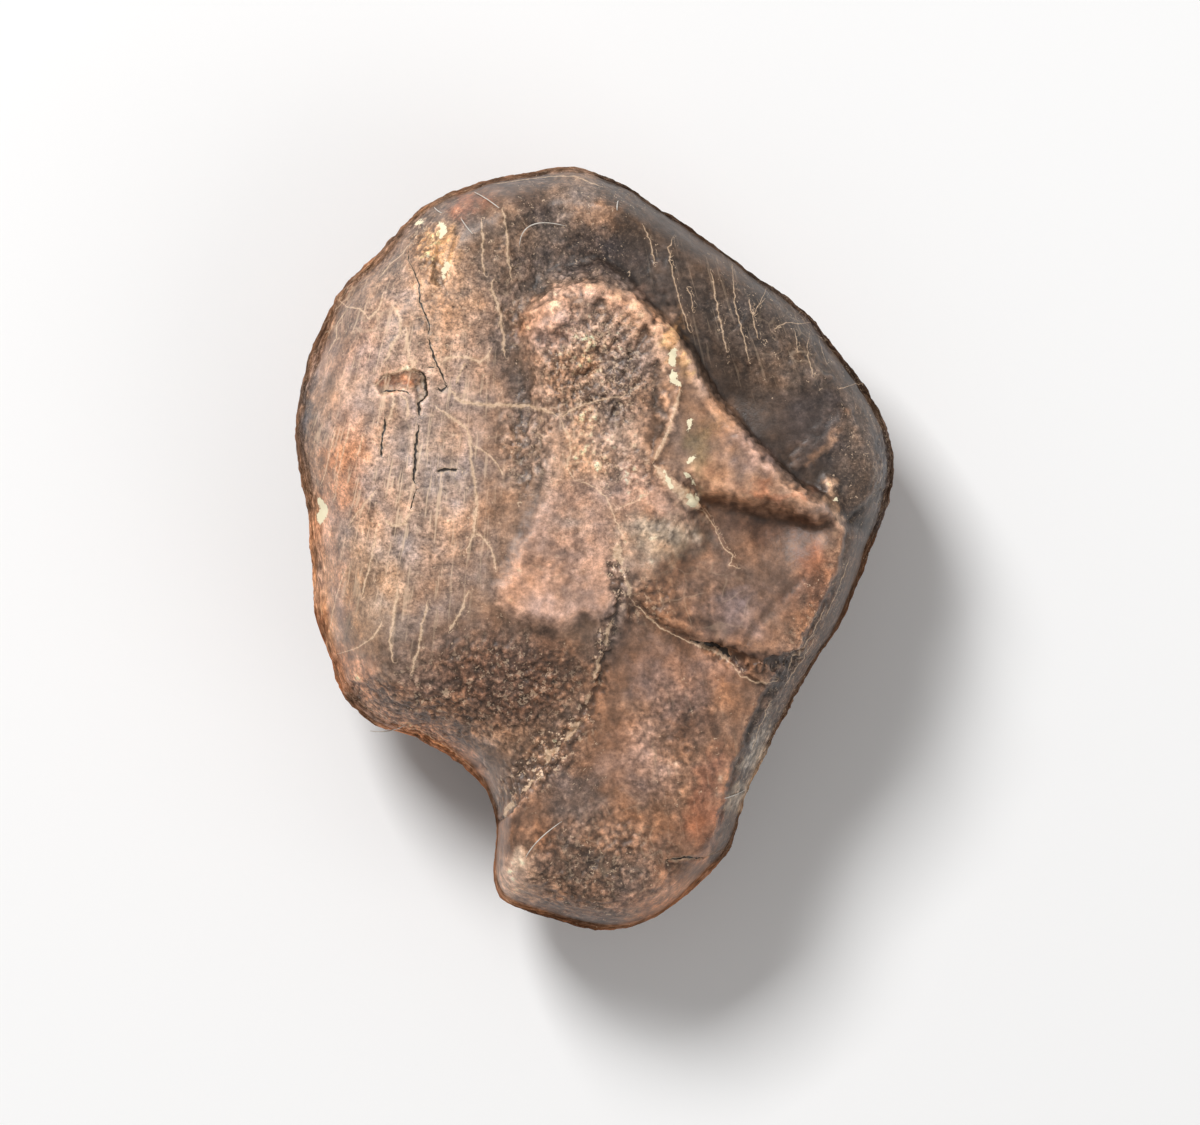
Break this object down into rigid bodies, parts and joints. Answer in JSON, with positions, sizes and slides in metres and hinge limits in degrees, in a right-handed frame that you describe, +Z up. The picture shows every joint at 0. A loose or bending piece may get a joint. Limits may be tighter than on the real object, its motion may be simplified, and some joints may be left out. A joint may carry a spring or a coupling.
{
  "type": "fossil triceratops tooth",
  "caption": "Brown fossil dinosaur tooth crown with a root stump and a rough, broken face, lying flat on a small spot of its keeled back.",
  "frame": {"origin": "on the surface that the tooth lies on, under the middle of its box", "axes": "+Z up, out of the broken face, +Y from the root stump towards the worn tip, +X towards the right of the face as it is seen from above with the tip away from the viewer"},
  "size_m": [0.0196, 0.025, 0.0106],
  "materials": {
    "fossil": "waxy, partly polished fossil enamel and dentine, brown to near black, with cracks, pale veins and grainy broken patches"
  },
  "bodies": {
    "root": {"tooth": "fossil"}
  },
  "joints": []
}
